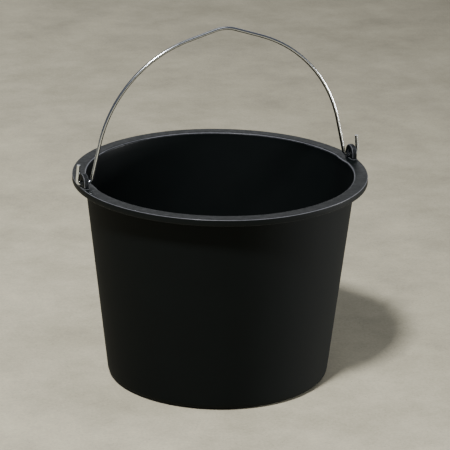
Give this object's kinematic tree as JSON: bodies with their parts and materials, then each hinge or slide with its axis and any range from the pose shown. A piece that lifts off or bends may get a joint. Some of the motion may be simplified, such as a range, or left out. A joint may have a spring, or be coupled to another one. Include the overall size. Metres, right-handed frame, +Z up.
{
  "type": "florist bucket",
  "caption": "Tapered round bucket with a turned-down rim, two ears and a swinging wire bail, for cut flowers and water.",
  "frame": {"origin": "centre of the foot, on the ground", "axes": "+Z up along the tub's axis; the ears and the bail's hinge line lie along X; the front is towards -Y"},
  "size_m": [0.3298, 0.32, 0.3909],
  "materials": {
    "black_polyethylene": "moulded, satin",
    "galvanised_wire": "zinc coated, drawn"
  },
  "bodies": {
    "tub": {"tub": "black_polyethylene"},
    "bail": {"bail": "galvanised_wire"}
  },
  "joints": [
    {"name": "bail_swing", "type": "hinge", "parent": "tub", "child": "bail", "pos_m": [0, 0, 0.2332], "axis": [1, 0, 0], "range_deg": [-90.5, 90.5]}
  ]
}
